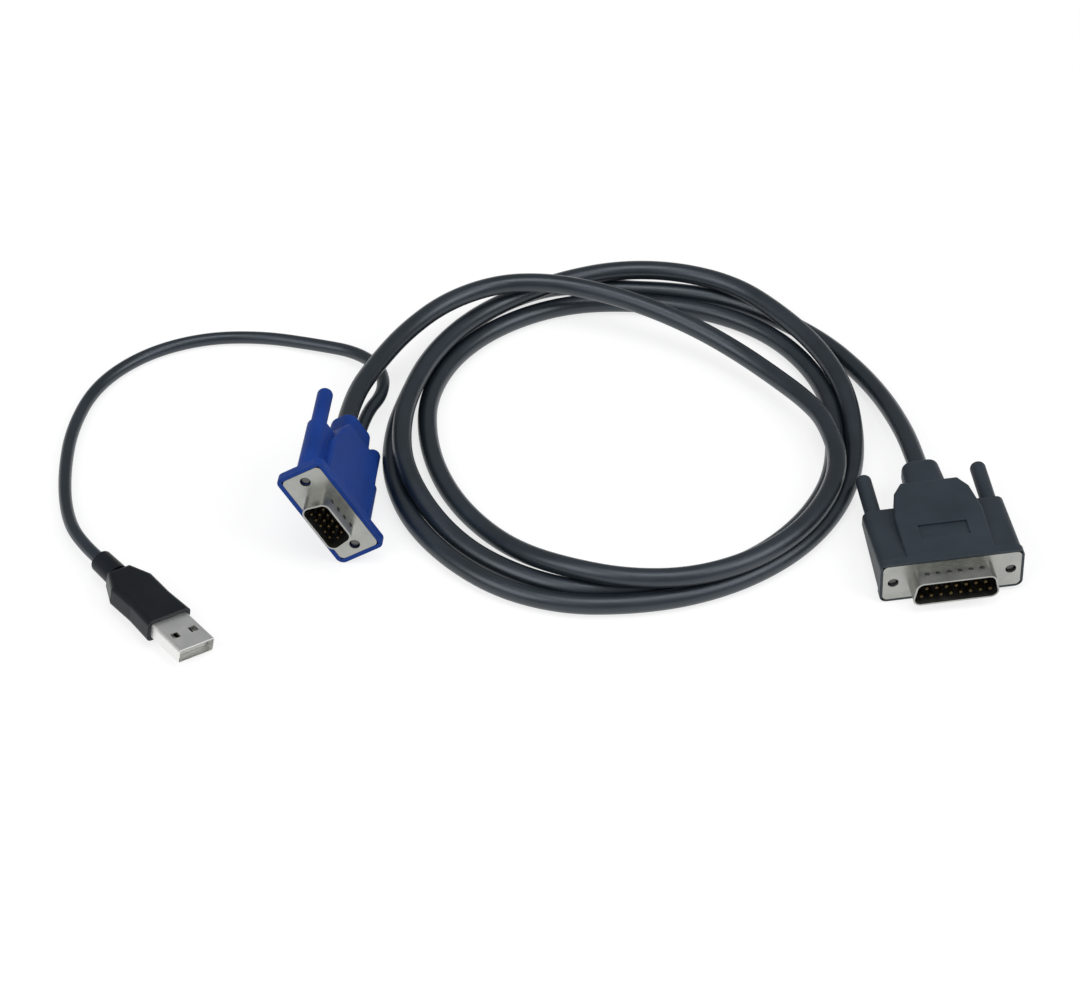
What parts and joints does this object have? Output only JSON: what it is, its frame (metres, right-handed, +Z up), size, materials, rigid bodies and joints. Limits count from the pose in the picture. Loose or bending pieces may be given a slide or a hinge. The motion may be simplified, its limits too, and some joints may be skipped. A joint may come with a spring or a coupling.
{
  "type": "kvm cable",
  "caption": "Coiled dark cable with a blue D plug and a wider slate D plug, both with captive thumbscrews, and a thin side lead that ends in a USB plug.",
  "frame": {"origin": "middle of the three plugs' outline on the table, at the table's surface", "axes": "+X to the right as in the picture, from the USB plug to the slate plug, +Y away from the viewer, +Z up from the table"},
  "size_m": [0.2744, 0.1613, 0.035],
  "materials": {
    "blue_plastic": "satin moulded plastic",
    "slate_plastic": "satin moulded plastic",
    "black_plastic": "satin moulded plastic",
    "insulator_plastic": "matte",
    "tongue_plastic": "plain white moulded plastic",
    "cable_jacket": "soft satin jacket",
    "nickel": "nickel plated sheet",
    "screw_steel": "plated steel",
    "contact_gold": "plated contacts"
  },
  "bodies": {
    "cable": {"video_hood": "blue_plastic", "video_front_shell": "nickel", "video_insulator": "insulator_plastic", "video_pins": "contact_gold", "host_hood": "slate_plastic", "host_front_shell": "nickel", "host_insulator": "insulator_plastic", "host_pins": "contact_gold", "usb_hood": "black_plastic", "usb_shell": "nickel", "usb_tongue": "tongue_plastic", "usb_contacts": "contact_gold", "main_cable_coil": "cable_jacket", "main_cable_video_lead": "cable_jacket", "main_cable_host_lead": "cable_jacket", "usb_lead": "cable_jacket"},
    "video_thumbscrew_left": {"video_knob_left": "blue_plastic", "video_screw_left": "screw_steel"},
    "video_thumbscrew_right": {"video_knob_right": "blue_plastic", "video_screw_right": "screw_steel"},
    "host_thumbscrew_left": {"host_knob_left": "slate_plastic", "host_screw_left": "screw_steel"},
    "host_thumbscrew_right": {"host_knob_right": "slate_plastic", "host_screw_right": "screw_steel"}
  },
  "joints": [
    {"name": "video_thumbscrew_left_turn", "type": "hinge", "parent": "cable", "child": "video_thumbscrew_left", "pos_m": [-0.07003, 0.00216, 0.02809], "axis": [-0.0868, -0.9918, 0.0941], "continuous": true},
    {"name": "video_thumbscrew_right_turn", "type": "hinge", "parent": "cable", "child": "video_thumbscrew_right", "pos_m": [-0.05701, -0.00098, 0.00699], "axis": [-0.0868, -0.9918, 0.0941], "continuous": true},
    {"name": "host_thumbscrew_left_turn", "type": "hinge", "parent": "cable", "child": "host_thumbscrew_left", "pos_m": [0.09298, -0.01634, 0.0071], "axis": [0.134, -0.991, 0], "continuous": true},
    {"name": "host_thumbscrew_right_turn", "type": "hinge", "parent": "cable", "child": "host_thumbscrew_right", "pos_m": [0.12598, -0.01188, 0.00826], "axis": [0.134, -0.991, 0], "continuous": true}
  ]
}
